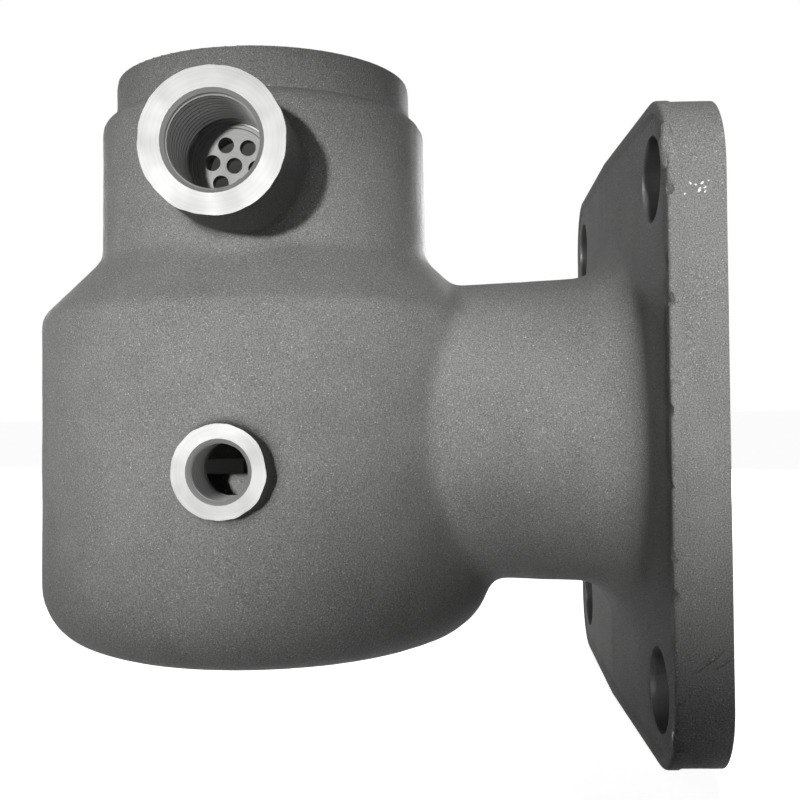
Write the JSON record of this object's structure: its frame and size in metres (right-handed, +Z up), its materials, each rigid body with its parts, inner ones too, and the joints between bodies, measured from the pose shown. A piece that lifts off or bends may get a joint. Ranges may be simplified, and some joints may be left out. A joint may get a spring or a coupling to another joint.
{
  "type": "compressor intake valve",
  "caption": "Cast intake valve with an inlet collar, a square bolted outlet flange, two front ports and a sliding plate valve moved by a control piston.",
  "frame": {"origin": "middle of the outlet flange's mating face, which is also the middle of its four bolt holes", "axes": "+X points out of the outlet, square to the flange; +Z points up along the valve's axis (at x = -0.099) towards the inlet collar; the two threaded ports face -Y"},
  "size_m": [0.1552, 0.135, 0.1549],
  "materials": {
    "cast_body": "dark grey shot-blasted casting, machined faces bright",
    "machined_aluminium": "fine turned",
    "ground_steel": "ground",
    "zinc_steel": "zinc plated",
    "spring_steel": "phosphated, oiled",
    "bearing_bronze": "sintered, matte",
    "seal_rubber": "matte",
    "guide_plastic": "matte"
  },
  "bodies": {
    "housing": {"valve_body": "cast_body", "vent_diffuser": "machined_aluminium", "seat_ring": "machined_aluminium", "seat_o_ring": "seal_rubber", "seat_circlip": "spring_steel", "stem_bush": "bearing_bronze", "cylinder_liner": "ground_steel", "liner_o_ring": "seal_rubber", "return_spring": "spring_steel", "bump_ring": "seal_rubber", "bottom_cover": "machined_aluminium", "cover_o_ring": "seal_rubber", "cover_circlip": "spring_steel"},
    "plunger": {"valve_plate": "machined_aluminium", "plate_seal": "seal_rubber", "seal_retainer": "machined_aluminium", "plate_washer": "zinc_steel", "plate_nut": "zinc_steel", "valve_stem": "ground_steel", "piston": "machined_aluminium", "piston_seal": "seal_rubber", "piston_guide_ring": "guide_plastic", "stem_o_ring": "seal_rubber", "piston_washer": "zinc_steel", "piston_nut": "zinc_steel"}
  },
  "joints": [
    {"name": "valve_slide", "type": "slide", "parent": "housing", "child": "plunger", "axis": [0, 0, -1], "range_m": [0, 0.011], "stiffness_N_per_m": 1500, "springref_m": -0.008, "deforming": ["return_spring"]}
  ]
}
